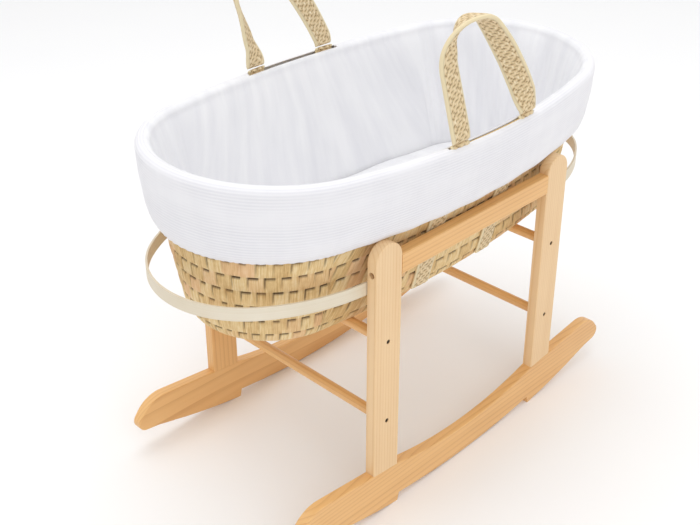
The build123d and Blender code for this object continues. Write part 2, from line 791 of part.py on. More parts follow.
def build():
    for side, name in ((-1, "front"), (1, "back")):
        save(rocker(side), f"rocker_{name}")
        save(side_rail(side), f"side_rail_{name}")
        save(handle_tails(side), f"handle_tails_{name}")
        save(handle_loop(side), f"handle_{name}")
        for end, place in ((-1, "left"), (1, "right")):
            save(post(end, side), f"post_{name}_{place}")
    for end, place in ((-1, "left"), (1, "right")):
        save(crossbar(end, lower_bar_z), f"lower_crossbar_{place}")
        save(crossbar(end, upper_bar_z), f"upper_crossbar_{place}")
        save(hoop(end), f"end_hoop_{place}")
    save(bar_screws(), "crossbar_screws")
    save(rail_bolts(), "rail_bolts")
    save(barrel_nuts(), "rail_barrel_nuts")
    save(rail_pins(), "rail_pins")
    save(post_pins(), "post_pins")
    save(long_screws(), "rocker_screws")
    save(hoop_screws(), "hoop_screws")
    save(basket_base(), "basket_base")
    save(basket_wall(), "basket_wall")
    save(basket_rim(), "basket_rim")
    save(cover_skirt(), "cover_skirt")
    save(cover_roll(), "cover_rim_roll")
    save(cover_liner(), "cover_liner")
    save(hem_elastic(), "hem_elastic")
    core = mattress(mattress_skin + fit_gap)
    save(mattress(0) - mattress(mattress_skin), "mattress_cover")
    save(core, "mattress_core")


build()
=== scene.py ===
import bpy
import numpy as np
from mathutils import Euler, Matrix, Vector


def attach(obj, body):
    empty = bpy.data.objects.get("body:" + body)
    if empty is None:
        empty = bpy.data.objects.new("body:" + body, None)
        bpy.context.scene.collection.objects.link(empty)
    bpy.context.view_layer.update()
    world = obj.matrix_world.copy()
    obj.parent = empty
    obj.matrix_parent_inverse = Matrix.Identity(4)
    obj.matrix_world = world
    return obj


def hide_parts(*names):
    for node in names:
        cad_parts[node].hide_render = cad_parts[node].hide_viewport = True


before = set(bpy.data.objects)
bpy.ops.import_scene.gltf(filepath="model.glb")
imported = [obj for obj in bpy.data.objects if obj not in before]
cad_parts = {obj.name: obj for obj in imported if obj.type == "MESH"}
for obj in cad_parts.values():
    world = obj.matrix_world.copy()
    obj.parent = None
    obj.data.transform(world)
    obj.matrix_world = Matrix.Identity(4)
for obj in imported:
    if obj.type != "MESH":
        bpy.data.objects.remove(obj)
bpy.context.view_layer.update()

rng = np.random.default_rng(7)
basketBody = "basket"


class Sock:
    # a shader socket that can be used in a Python expression
    def __init__(self, shop, out):
        self.shop, self.out = shop, out

    def maths(self, operation, *others):
        return self.shop.node("ShaderNodeMath", {"operation": operation}, dict(enumerate((self, *others))))

    def __add__(self, other):
        return self.maths("ADD", other)

    __radd__ = __add__

    def __sub__(self, other):
        return self.maths("SUBTRACT", other)

    def __rsub__(self, other):
        return self.shop.node("ShaderNodeMath", {"operation": "SUBTRACT"}, {0: other, 1: self})

    def __mul__(self, other):
        return self.maths("MULTIPLY", other)

    __rmul__ = __mul__

    def __truediv__(self, other):
        return self.maths("DIVIDE", other)

    def __pow__(self, other):
        return self.maths("POWER", other)


class Shop:
    # one material and its nodes
    def __init__(self, name):
        self.mat = bpy.data.materials.new(name)
        self.mat.use_nodes = True
        self.nodes, self.links = self.mat.node_tree.nodes, self.mat.node_tree.links
        self.shader = self.nodes["Principled BSDF"]

    def node(self, kind, settings=None, values=None, out=0):
        made = self.nodes.new(kind)
        for key, value in (settings or {}).items():
            if key == "stops":
                ramp = made.color_ramp
                while len(ramp.elements) < len(value):
                    ramp.elements.new(0.5)
                for stop, (place, color) in zip(ramp.elements, value):
                    stop.position = place
                    stop.color = (*color, 1.0)
            else:
                setattr(made, key, value)
        for key, value in (values or {}).items():
            socket = made.inputs[key]
            if isinstance(value, Sock):
                self.links.new(value.out, socket)
            else:
                socket.default_value = value
        return Sock(self, made.outputs[out])

    def spot(self, scale=(1, 1, 1), where="Object", turn=(0, 0, 0)):
        # the place on the piece, stretched by scale
        place = self.node("ShaderNodeTexCoord", out=where)
        return self.node("ShaderNodeMapping", {}, {"Vector": place, "Scale": scale, "Rotation": turn})

    def noise(self, place, scale=1.0, detail=3.0, rough=0.5, out="Fac"):
        values = {"Vector": place, "Scale": scale, "Detail": detail, "Roughness": rough}
        return self.node("ShaderNodeTexNoise", {}, values, out)

    def parts(self, vector):
        split = self.node("ShaderNodeSeparateXYZ", {}, {"Vector": vector})
        return [Sock(self, split.out.node.outputs[k]) for k in range(3)]

    def attribute(self, name):
        made = self.node("ShaderNodeAttribute", {"attribute_name": name}, out="Color")
        split = self.node("ShaderNodeSeparateColor", {}, {"Color": made})
        return [Sock(self, split.out.node.outputs[k]) for k in range(3)]

    def ramp(self, factor, stops):
        return self.node("ShaderNodeValToRGB", {"stops": stops}, {"Fac": factor})

    def mix(self, factor, a, b, blend="MIX"):
        made = self.nodes.new("ShaderNodeMix")
        made.data_type, made.blend_type = "RGBA", blend
        for key, value in (("Factor", factor), ("A", a), ("B", b)):
            kind = "VALUE" if key == "Factor" else "RGBA"
            socket = [s for s in made.inputs if s.name == key and s.type == kind][0]
            if isinstance(value, Sock):
                self.links.new(value.out, socket)
            else:
                socket.default_value = value if key == "Factor" else (*value, 1.0)
        return Sock(self, [s for s in made.outputs if s.type == "RGBA"][0])

    def clamp(self, value, low=0.0, high=1.0):
        values = {"Value": value, "From Min": low, "From Max": high}
        return self.node("ShaderNodeMapRange", {"clamp": True}, values)

    def finish(self, color, rough, height=None, depth=0.0005, **constants):
        for key, value in (("Base Color", color), ("Roughness", rough)):
            if isinstance(value, Sock):
                self.links.new(value.out, self.shader.inputs[key])
            else:
                self.shader.inputs[key].default_value = (*value, 1.0) if key == "Base Color" else value
        for key, value in constants.items():
            self.shader.inputs[key.replace("_", " ")].default_value = value
        if height is not None:
            bump = self.node("ShaderNodeBump", {}, {"Height": height, "Distance": depth, "Strength": 1.0})
            self.links.new(bump.out, self.shader.inputs["Normal"])
        return self.mat


def dress(names, mat):
    # gives a finish to CAD nodes
    for name in names:
        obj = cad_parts[name]
        obj.data.materials.clear()
        obj.data.materials.append(mat)


def gridMesh(name, points, mat, closeU=False, closeV=False, caps=False, uv=None, colors=None, smooth=True):
    # a surface from a grid of points, shape (rows, columns, 3); columns or rows may join up
    rows, cols, _ = points.shape
    iu = np.arange(cols if closeU else cols - 1)
    iv = np.arange(rows if closeV else rows - 1)
    a = (iv[:, None] * cols + iu[None, :])
    b = (iv[:, None] * cols + (iu[None, :] + 1) % cols)
    c = (((iv[:, None] + 1) % rows) * cols + (iu[None, :] + 1) % cols)
    d = (((iv[:, None] + 1) % rows) * cols + iu[None, :])
    faces = np.stack([a, b, c, d], -1).reshape(-1, 4)
    loops = [faces.reshape(-1)]
    starts = np.arange(len(faces)) * 4
    sizes = np.full(len(faces), 4)
    if caps:
        ends = [np.arange(cols)[::-1], (rows - 1) * cols + np.arange(cols)] if closeU else []
        for end in ends:
            starts = np.append(starts, sizes.sum())
            sizes = np.append(sizes, len(end))
            loops.append(end)
    mesh = bpy.data.meshes.new(name)
    mesh.vertices.add(rows * cols)
    mesh.vertices.foreach_set("co", points.reshape(-1).astype(np.float32))
    allLoops = np.concatenate(loops)
    mesh.loops.add(len(allLoops))
    mesh.loops.foreach_set("vertex_index", allLoops.astype(np.int32))
    mesh.polygons.add(len(sizes))
    mesh.polygons.foreach_set("loop_start", starts.astype(np.int32))
    mesh.polygons.foreach_set("loop_total", sizes.astype(np.int32))
    mesh.polygons.foreach_set("use_smooth", np.full(len(sizes), smooth))
    mesh.update(calc_edges=True)
    if uv is not None:
        # the seam column takes the far end of u, so that nothing runs backwards across it
        layer = mesh.uv_layers.new(name="flat")
        u, v = uv
        full = np.zeros((len(allLoops), 2))
        n = len(faces)
        uu = u[np.clip(np.stack([iu, iu + 1, iu + 1, iu], -1), 0, len(u) - 1)]
        vv = v[np.clip(np.stack([iv, iv, iv + 1, iv + 1], -1), 0, len(v) - 1)]
        full[:n * 4, 0] = np.broadcast_to(uu[None], (len(iv), len(iu), 4)).reshape(-1)
        full[:n * 4, 1] = np.broadcast_to(vv[:, None], (len(iv), len(iu), 4)).reshape(-1)
        layer.data.foreach_set("uv", full.reshape(-1).astype(np.float32))
    for key, values in (colors or {}).items():
        layer = mesh.color_attributes.new(name=key, type="FLOAT_COLOR", domain="POINT")
        layer.data.foreach_set("color", values.reshape(-1).astype(np.float32))
    mesh.validate()
    obj = bpy.data.objects.new(name, mesh)
    bpy.context.scene.collection.objects.link(obj)
    mesh.materials.append(mat)
    return obj


def outward(obj):
    # turns every face outwards
    import bmesh
    bm = bmesh.new()
    bm.from_mesh(obj.data)
    bmesh.ops.remove_doubles(bm, verts=bm.verts, dist=1e-7)
    bmesh.ops.recalc_face_normals(bm, faces=bm.faces)
    bm.to_mesh(obj.data)
    bm.free()
    return obj


print("materials: pine, strips, metal")


def pineWood(name, along, light, dark, pith, ringPitch=0.0052):
    # pine: growth rings round a pith line that runs along the board, wavered by slow noise, with fine pores
    shop = Shop(name)
    stretch = [1.0, 1.0, 1.0]
    stretch[along] = 0.07
    slow = shop.noise(shop.spot(stretch), 9.0, 2.0)
    place = shop.parts(shop.spot())
    across = [k for k in range(3) if k != along]
    d0 = place[across[0]] - pith[0] + (slow - 0.5) * 0.022
    d1 = place[across[1]] - pith[1] + (slow - 0.5) * 0.016
    ring = ((d0 * d0 + d1 * d1) ** 0.5) / ringPitch
    tooth = ring.maths("FRACT")
    late = shop.clamp(tooth ** 3.0, 0.15, 0.95)
    stretch[along] = 0.02
    fine = shop.noise(shop.spot(stretch), 900.0, 3.0, 0.6)
    broad = shop.noise(shop.spot(stretch), 60.0, 2.0)
    cloudy = shop.noise(shop.spot(), 7.0, 2.0)
    streaks = late * 0.55 + (fine - 0.5) * 0.35 + (broad - 0.5) * 0.75
    grain = shop.clamp(streaks + (cloudy - 0.5) * 0.5 + 0.08)
    middle = [(a * 2 + b) / 3 for a, b in zip(light, dark)]
    color = shop.ramp(grain, [(0.0, light), (0.45, middle), (1.0, dark)])
    rough = late * -0.10 + 0.46 + (fine - 0.5) * 0.12
    return shop.finish(color, rough, late * 0.35 + fine * 0.5, 0.00025, Coat_Weight=0.18, Coat_Roughness=0.3)


pine = dict(light=(0.83, 0.49, 0.195), dark=(0.58, 0.26, 0.07),
            pale=(0.84, 0.59, 0.33), paleDark=(0.68, 0.39, 0.16))
railWood = pineWood("pineAlongX", 0, pine["light"], pine["dark"], (-0.16, 0.46))
rockerWood = pineWood("pineRocker", 0, pine["light"], pine["dark"], (-0.23, 0.0), 0.0062)
postWood = pineWood("pinePost", 2, pine["pale"], pine["paleDark"], (-0.12, -0.24))
postBackWood = pineWood("pinePostBack", 2, pine["light"], pine["dark"], (-0.26, 0.11))
barWood = pineWood("pineBar", 1, pine["light"], pine["dark"], (-0.14, 0.2))
dress(["rocker_front", "rocker_back"], rockerWood)
dress(["side_rail_front", "side_rail_back"], railWood)
dress(["post_front_left", "post_front_right"], postWood)
dress(["post_back_left", "post_back_right"], postBackWood)
dress(["lower_crossbar_left", "lower_crossbar_right"], barWood)
dress(["upper_crossbar_left", "upper_crossbar_right"], barWood)
dress(["rail_pins", "post_pins"], barWood)


def stripWood():
    # pale bent strip: faint streaks that run round it, and a cloudy tone between cream and brown
    shop = Shop("bentStrip")
    streak = shop.noise(shop.spot((3, 3, 900)), 1.0, 3.0, 0.6)
    cloudy = shop.noise(shop.spot(), 14.0, 2.0)
    tone = shop.clamp((streak - 0.5) * 0.8 + (cloudy - 0.5) * 0.7 + 0.45)
    color = shop.ramp(tone, [(0.0, (0.82, 0.76, 0.64)), (1.0, (0.66, 0.55, 0.38))])
    return shop.finish(color, 0.55, streak, 0.0002)


dress(["end_hoop_left", "end_hoop_right"], stripWood())


def metal(name, color, rough):
    # plain metal, slightly scuffed
    shop = Shop(name)
    scuff = shop.noise(shop.spot(), 260.0, 3.0)
    shade = shop.ramp(scuff, [(0.2, [c * 0.8 for c in color]), (0.8, color)])
    return shop.finish(shade, (scuff - 0.5) * 0.2 + rough, scuff, 0.0001, Metallic=1.0)


dress(["crossbar_screws", "hoop_screws"], metal("darkScrew", (0.10, 0.085, 0.07), 0.5))
dress(["rail_bolts", "rail_barrel_nuts", "rocker_screws"], metal("zincSteel", (0.55, 0.55, 0.53), 0.38))

print("basket outline")
basket = dict(
    endRound=0.876,
    zs=[0.3163, 0.439, 0.562, 0.5835],
    halfL=[0.362, 0.38297, 0.404, 0.4048],
    halfW=[0.1413, 0.17235, 0.209, 0.2098],
    foot=0.3163,
    rowStart=0.3353,
    top=0.5633,
    rows=9,
    wall=0.007,
)


def ovalAngles(count, halfL=0.385, halfW=0.178):
    # directions of the oval's normal that step evenly along its length, starting at +X
    r = basket["endRound"] * halfW
    sideR = (halfL ** 2 + halfW ** 2 - 2 * halfL * r) / (2 * (halfW - r))
    turn = np.arctan2(sideR - halfW, halfL - r)
    quarter = r * turn + sideR * (np.pi / 2 - turn)
    s = np.arange(count) / count * 4
    q, f = np.floor(s), s - np.floor(s)
    rising = np.where(q % 2 == 0, f, 1 - f) * quarter
    angle = np.where(rising < r * turn, rising / r, turn + (rising - r * turn) / sideR)
    turns = [angle, np.pi - angle, np.pi + angle, 2 * np.pi - angle]
    return np.select([q == 0, q == 1, q == 2], turns[:3], turns[3])


def ovalPoints(angles, halfL, halfW, grow):
    # four joined arcs: end radius r about (L - r, 0), side radius R about (0, W - R), moved outward by grow
    halfL, halfW, grow = (np.asarray(v, float)[..., None] for v in (halfL, halfW, grow))
    r = basket["endRound"] * halfW
    sideR = (halfL ** 2 + halfW ** 2 - 2 * halfL * r) / (2 * (halfW - r))
    turn = np.arctan2(sideR - halfW, halfL - r)
    c, s = np.cos(angles), np.sin(angles)
    acute = np.arctan2(np.abs(s), np.abs(c))
    end = acute < turn
    x = np.where(end, np.sign(c) * (halfL - r) + (r + grow) * c, (sideR + grow) * c)
    y = np.where(end, (r + grow) * s, -np.sign(s) * (sideR - halfW) + (sideR + grow) * s)
    return x, y


def wallPoints(angles, z, grow):
    # the basket wall's outer line at each height z, moved outward by grow
    z = np.asarray(z, float)
    halfL = np.interp(z, basket["zs"], basket["halfL"])
    halfW = np.interp(z, basket["zs"], basket["halfW"])
    return ovalPoints(angles, halfL, halfW, grow)


def girth(angles, z, grow=0.0):
    # length round the wall up to each column, and right round
    x, y = wallPoints(angles, [z], [grow])
    step = np.hypot(np.diff(x[0], append=x[0, :1]), np.diff(y[0], append=y[0, :1]))
    return np.concatenate([[0.0], np.cumsum(step)])


print("plaited wall")
plait = dict(blocks=80, bulge=0.0011, strand=0.0005, slot=0.0030, gap=0.0018, lap=0.0007, base=0.0003,
             across=[0, .04, .09, .18, .30, .41, .5, .54, .59, .68, .80, .91],
             up=[0, .07, .2, .4, .6, .76, .86, .94])


def leafWeave():
    # dried leaf: every block has its own tone, with fine strands up the row, and painted shade that turns
    # the slots and gaps near black
    shop = Shop("plaitedLeaf")
    tone, pink, pitShade = shop.attribute("leaf")
    strand = shop.noise(shop.spot((520, 26, 1), "UV"), 1.0, 3.0, 0.65)
    fine = shop.noise(shop.spot((1500, 60, 1), "UV"), 1.0, 2.0, 0.6)
    mottle = shop.noise(shop.spot((90, 70, 1), "UV"), 1.0, 3.0, 0.6)
    uneven = tone * 0.42 + (strand - 0.5) * 1.25 + (fine - 0.5) * 0.45
    level = shop.clamp(uneven + (mottle - 0.5) * 0.5 + 0.28)
    straw = shop.ramp(level, [(0.0, (0.30, 0.15, 0.04)), (0.3, (0.60, 0.38, 0.15)),
                              (0.65, (0.78, 0.57, 0.28)), (1.0, (0.90, 0.75, 0.48))])
    rosy = shop.mix(pink, straw, (0.80, 0.44, 0.26))
    # painted shade: the slot-and-gap mask pulls the colour to near black where the recesses are
    color = shop.mix(shop.clamp(pitShade), rosy, (0.045, 0.022, 0.008))
    return shop.finish(color, 0.72, strand + fine * 0.5 - pitShade * 0.5, 0.0007)


leaf = leafWeave()


def plaitRows(zEdges, growEdges, firstRow):
    # rows of blocks: each is a pillow cut into upright strands, tucked under the row above with a slot
    # at the top and a narrow gap at one side, and set half a block along from row to row; slot and gap also
    # get painted shade
    across = np.array(plait["across"])
    up = np.array(plait["up"])
    n = plait["blocks"]
    cols = n * len(across)
    u = (np.arange(n)[:, None] + across[None, :]).reshape(-1)
    rowCount = len(zEdges) - 1
    w = np.concatenate([up for _ in range(rowCount)] + [[1.0]])
    k = np.concatenate([np.full(len(up), j) for j in range(rowCount)] + [[rowCount - 1]]).astype(int)
    z = np.array(zEdges)[k] * (1 - w) + np.array(zEdges)[k + 1] * w
    grow = np.array(growEdges)[k] * (1 - w) + np.array(growEdges)[k + 1] * w
    shift = 0.5 * ((k + firstRow) % 2)
    ub = (u[None, :] + shift[:, None])
    block = np.floor(ub).astype(int) % n
    f = ub - np.floor(ub)
    dice = rng.random((rowCount + 1, n, 5))
    d = dice[k[:, None], block]
    tall = np.sin(np.pi * np.clip(w, 0, 1))[:, None] ** 0.6
    wide = np.clip(np.sin(np.pi * np.clip(f * 0.98 + 0.01, 0, 1)), 0, 1) ** 0.4
    strands = np.abs(np.sin(np.pi * (2 + np.round(d[..., 0] * 2)) * f + d[..., 1]))
    slotLen = 0.48 + 0.16 * d[..., 2]
    slot = (w[:, None] > 0.85) * (w[:, None] < 1.0) * (f > 0.03) * (f < slotLen)
    slot = slot * (0.6 + 0.4 * d[..., 3])
    gap = (f < 0.05) * np.clip((w[:, None] - 0.25 * d[..., 4]) * 3, 0, 1) * (w[:, None] > 0.1)
    lap = plait["lap"] * (1 - 2 * w[:, None])
    height = (plait["base"] + plait["bulge"] * tall * wide * (0.7 + 0.5 * d[..., 0])
              + plait["strand"] * strands * tall + lap - plait["slot"] * slot
              - plait["gap"] * gap * (0.4 + 0.6 * d[..., 1]))
    # partly painted shade: each block's tone is random, and the strands term paints the strand crests
    # lighter and the grooves between them darker
    tone = 0.35 + 0.65 * d[..., 3] + 0.25 * (strands - 0.5)
    pink = np.clip((d[..., 4] - 0.72) * 1.6, 0, 0.45)
    # painted shade: this mask darkens the slots and gaps in colour, on top of recessing them
    pitShade = np.clip(slot * 1.0 + gap * 0.75 * d[..., 2], 0, 1)
    return u, cols, z, grow, w, k, height, tone, pink, pitShade


def plaitedWall():
    rowEdges = [basket["foot"]] + list(np.linspace(basket["rowStart"], basket["top"], basket["rows"] + 1))
    growEdges = [-0.0085, -0.0006] + [0.0] * basket["rows"]
    u, cols, z, grow, w, k, height, tone, pink, pitShade = plaitRows(rowEdges, growEdges, 0)
    even = ovalAngles(plait["blocks"])
    angles = np.interp(u, np.arange(plait["blocks"] + 1), np.append(even, 2 * np.pi))
    foot = k == 0
    grow = np.where(foot, -0.0085 + 0.0079 * np.sin(np.pi / 2 * np.clip(w, 0, 1)) ** 0.8, grow)
    x, y = wallPoints(angles, z, grow)
    nx, ny = np.cos(angles)[None, :], np.sin(angles)[None, :]
    outer = np.stack([x + nx * height, y + ny * height, np.broadcast_to(z[:, None], x.shape)], -1)
    zIn = np.array([basket["top"], 0.45, 0.3250, basket["foot"]])
    gIn = np.array([-basket["wall"], -basket["wall"], -basket["wall"], -0.0180])
    xi, yi = wallPoints(angles, zIn, gIn)
    inner = np.stack([xi, yi, np.broadcast_to(zIn[:, None], xi.shape)], -1)
    points = np.concatenate([outer, inner])
    flat = np.ones((len(points), cols, 4))
    for c, layer in enumerate((tone, pink, pitShade)):
        flat[:len(outer), :, c] = layer
        flat[len(outer):, :, c] = 0.3 if c == 0 else 0.0
    around = girth(angles, 0.44)
    v = np.concatenate([z, [0.57, 0.62, 0.70, 0.72, 0.74]])
    obj = gridMesh("basketWall", points, leaf, closeU=True, closeV=True,
                   uv=(around, v), colors={"leaf": flat})
    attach(obj, basketBody)
    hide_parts("basket_wall")
    return obj


outward(plaitedWall())


def plaitedBase():
    # the same plait laid in shrinking ovals across the underside, closed along the middle
    edges = np.linspace(-0.0105, -0.1195, 6)
    rows = plaitRows([0.0] * 6, list(edges), 1)
    u, cols, _, grow, _, _, height, tone, pink, pitShade = rows
    even = ovalAngles(plait["blocks"])
    angles = np.interp(u, np.arange(plait["blocks"] + 1), np.append(even, 2 * np.pi))
    level = np.full(len(grow), basket["foot"])
    x, y = wallPoints(angles, level, grow)
    zUnder = basket["foot"] + 0.0016 - height
    under = np.stack([x, y, zUnder], -1)
    top = basket["foot"] + 0.0078
    xc, yc = wallPoints(angles, [basket["foot"]] * 2, [-0.1235, -0.1235])
    levels = np.broadcast_to(np.array([[basket["foot"] + 0.001], [top]]), xc.shape)
    mid = np.stack([xc, yc * 0.02, levels], -1)
    xe, ye = wallPoints(angles, [basket["foot"]], [-0.0105])
    rim = np.stack([xe, ye, np.full(xe.shape, top)], -1)
    points = np.concatenate([under, mid, rim])
    flat = np.ones((len(points), cols, 4)) * 0.3
    for c, layer in enumerate((tone, pink, pitShade)):
        flat[:len(under), :, c] = layer
        flat[len(under):, :, c] = 0.3 if c == 0 else 0.0
    around = girth(angles, 0.33)
    v = np.concatenate([-grow, [0.125, 0.13, 0.24, 0.25]])
    obj = gridMesh("basketBase", points, leaf, closeU=True, closeV=True,
                   uv=(around, v), colors={"leaf": flat})
    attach(obj, basketBody)
    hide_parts("basket_base")
    return obj


outward(plaitedBase())
print("bound rim")


def boundRim():
    # a bead wound round with leaf: a tube whose radius ripples along its length, with painted shade
    # darkening the grooves between windings
    n, ring = 1400, 12
    angles = ovalAngles(n)
    a = np.arange(ring) / ring * 2 * np.pi
    along = np.arange(n) / n
    wrap = 0.0032 + 0.0003 * np.abs(np.sin(along * np.pi * 240))[None, :]
    d = -0.0035 + wrap * np.cos(a)[:, None]
    zz = 0.567 + wrap * np.sin(a)[:, None] + 0 * angles[None, :]
    x0, y0 = wallPoints(angles, [0.562], [0.0])
    x = x0 + np.cos(angles) * d
    y = y0 + np.sin(angles) * d
    flat = np.ones((ring, n, 4)) * 0.0
    # painted shade: tone follows the winding ripple, lightest on each winding and darkest in the grooves
    # between them
    flat[..., 0] = 0.55 + 0.45 * np.sin(along * np.pi * 240)[None, :] ** 2
    obj = gridMesh("basketRim", np.stack([x, y, zz], -1), leaf, closeU=True, closeV=True,
                   uv=(girth(angles, 0.562), np.linspace(0, 0.02, ring + 1)), colors={"leaf": flat})
    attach(obj, basketBody)
    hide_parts("basket_rim")
    return obj


outward(boundRim())

print("handles")
strap = dict(width=0.036, thick=0.007, tail=0.0045, footX=0.075,
             hingeY=0.21027, hingeZ=0.5835, lean=17.2, leanIn=27.9,
             fall=47.6, bend=0.025, crown=0.0469, straight=0.105527, longR=0.688053,
             turns=[(0, 0), (0.3, 4), (0.48, 80), (0.75, 56), (0.9, 34), (1, 0)])


def braid():
    # a flat plait of thin leaf: short slanting strands that cross, light flecks, and a smooth bound edge,
    # with painted shade in the dips between strands
    shop = Shop("braidedStrap")
    tone, edge, pitShade = shop.attribute("leaf")
    strand = shop.noise(shop.spot((420, 120, 1), "UV", (0, 0, 0.6)), 1.0, 3.0, 0.6)
    cross = shop.noise(shop.spot((420, 120, 1), "UV", (0, 0, -0.6)), 1.0, 3.0, 0.6)
    fine = shop.noise(shop.spot((260, 1400, 1), "UV"), 1.0, 2.0, 0.6)
    level = shop.clamp(tone * 0.55 + (strand - 0.5) * 0.8 + (cross - 0.5) * 0.8 + (fine - 0.5) * 0.35 + 0.2)
    straw = shop.ramp(level, [(0.0, (0.34, 0.20, 0.08)), (0.35, (0.60, 0.43, 0.22)),
                              (0.7, (0.78, 0.62, 0.38)), (1.0, (0.92, 0.84, 0.66))])
    bound = shop.mix(edge, straw, (0.80, 0.68, 0.44))
    # painted shade: the dark mask darkens the dips between strands, plus a faint line along the bound edge's
    # join
    color = shop.mix(shop.clamp(pitShade), bound, (0.13, 0.075, 0.03))
    return shop.finish(color, 0.68, strand + cross + fine * 0.4, 0.0006)


braided = braid()


def strapSection(count, width, thick):
    # a flat section with round edges: across from -1 to 1, then back along the other face
    a = np.arange(count) / count * 2 * np.pi
    c, s = np.cos(a), np.sin(a)
    across = np.sign(c) * np.abs(c) ** 0.55 * width / 2
    through = np.sign(s) * np.abs(s) ** 0.75 * thick / 2
    return across, through


def braidRelief(along, across, half):
    # height of the plait: two slanting families of strands that take turns on top, raised bound edges; its
    # tone is painted lighter on strand crests and its dark mask paints shade in the dips between strands,
    # with a faint dark line along the bound edge's join
    t = across / half
    pitch = 0.0115
    left = np.sin(np.pi * (along / pitch + t * 1.5))
    right = np.sin(np.pi * (along / pitch - t * 1.5))
    turn = np.cos(np.pi * t * 2.5) * np.cos(np.pi * along / pitch)
    weave = np.where(turn > 0, np.abs(left), np.abs(right))
    inside = np.clip((0.80 - np.abs(t)) * 12, 0, 1)
    relief = 0.0011 * weave * inside + 0.0007 * (1 - inside)
    # painted shade: tone is lighter on strand crests and darker where strands dip
    tone = np.clip(weave * 0.9 + 0.1, 0, 1)
    pitShade = np.clip(0.45 - weave, 0, 1) * inside * 1.7 + np.exp(-((np.abs(t) - 0.80) / 0.05) ** 2) * 0.25
    return relief, tone, 1 - inside, pitShade


def strapPiece(name, centre, acrossDir, throughDir, along, width, thick, body, nodes):
    # a strap carried along a line, with the plait in relief on both faces and rounded ends
    n = len(centre)
    section = 44
    across, through = strapSection(section, width, thick)
    ends = np.minimum(along, along[-1] - along)
    taper = np.clip(1 - (1 - np.clip(ends / (thick / 2), 0, 1)) ** 2, 0, 1) ** 0.5
    relief, tone, edge, pitShade = braidRelief(along[:, None], across[None, :], width / 2)
    lift = relief * np.sign(through)[None, :]
    thickHere = (through[None, :] * 0.86 + lift * 0.8) * (0.12 + 0.88 * taper[:, None])
    narrowing = 0.97 + 0.03 * taper[:, None, None]
    points = (centre[:, None, :] + acrossDir[:, None, :] * across[None, :, None] * narrowing
              + throughDir[:, None, :] * thickHere[..., None])
    flat = np.ones((n, section, 4))
    flat[..., 0], flat[..., 1], flat[..., 2] = tone, edge, pitShade
    sides = np.hypot(np.diff(across, append=across[0]), np.diff(through, append=through[0]))
    v = np.append([0.0], np.cumsum(sides))
    obj = gridMesh(name, points, braided, closeU=True, caps=True,
                   uv=(v, along), colors={"leaf": flat})
    outward(obj)
    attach(obj, body)
    if nodes:
        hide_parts(*nodes)
    return obj


def handleLine(count):
    # the loop's centre line in its own plane: bend, straight, round crown, long arc, bend
    runs = [(90.0, 90 + strap["lean"], strap["bend"]), (90 + strap["lean"], None, strap["straight"]),
            (90 + strap["lean"], -strap["fall"], strap["crown"]),
            (-strap["fall"], strap["leanIn"] - 90, strap["longR"]),
            (strap["leanIn"] - 90, -90.0, strap["bend"])]
    x, z = -strap["footX"], strap["hingeZ"]
    xs, zs, hs, ss = [], [], [], []
    done = 0.0
    for start, stop, size in runs:
        h0 = np.radians(start)
        if stop is None:
            t = np.linspace(0, size, 60)
            px, pz, ph = x + t * np.cos(h0), z + t * np.sin(h0), np.full(len(t), h0)
        else:
            h1 = np.radians(stop)
            ph = np.linspace(h0, h1, 90)
            bend = 1 if h1 < h0 else -1
            t = size * np.abs(ph - h0)
            px = x + bend * size * (np.sin(h0) - np.sin(ph))
            pz = z + bend * size * (np.cos(ph) - np.cos(h0))
        for run, values in ((xs, px), (zs, pz), (hs, ph), (ss, done + t)):
            run.append(values)
        x, z, done = px[-1], pz[-1], done + t[-1]
    s = np.concatenate(ss)
    even = np.linspace(0, s[-1], count)
    return [np.interp(even, s, np.concatenate(v)) for v in (xs, zs, hs)] + [even]


def handle(name, side):
    # the loop, its feet upright on the basket and its crown turned flat for the hand
    x, z, h, s = handleLine(520)
    share = s / s[-1]
    stops = np.array(strap["turns"], float)
    t = share if side < 0 else 1 - share
    k = np.clip(np.searchsorted(stops[:, 0], t, side="right") - 1, 0, len(stops) - 2)
    f = (t - stops[k, 0]) / (stops[k + 1, 0] - stops[k, 0])
    f = f * f * (3 - 2 * f)
    a = np.radians(stops[k, 1] + (stops[k + 1, 1] - stops[k, 1]) * f)
    centre = np.stack([x, np.full_like(x, side * strap["hingeY"]), z], -1)
    acrossDir = np.stack([np.sin(h) * np.cos(a), np.sin(a), -np.cos(h) * np.cos(a)], -1)
    throughDir = np.stack([-np.sin(h) * np.sin(a), np.cos(a), np.cos(h) * np.sin(a)], -1)
    start, stop = centre[0] - [0, 0, 0.0033], centre[-1] - [0, 0, 0.0033]
    centre = np.concatenate([[start], centre, [stop]])
    acrossDir = np.concatenate([acrossDir[:1], acrossDir, acrossDir[-1:]])
    throughDir = np.concatenate([throughDir[:1], throughDir, throughDir[-1:]])
    along = np.concatenate([[0], s + 0.0033, [s[-1] + 0.0066]])
    return strapPiece(name, centre, acrossDir, throughDir, along,
                      strap["width"], strap["thick"], name, [name])


handle("handle_front", -1).name = "handleFront"
handle("handle_back", 1).name = "handleBack"


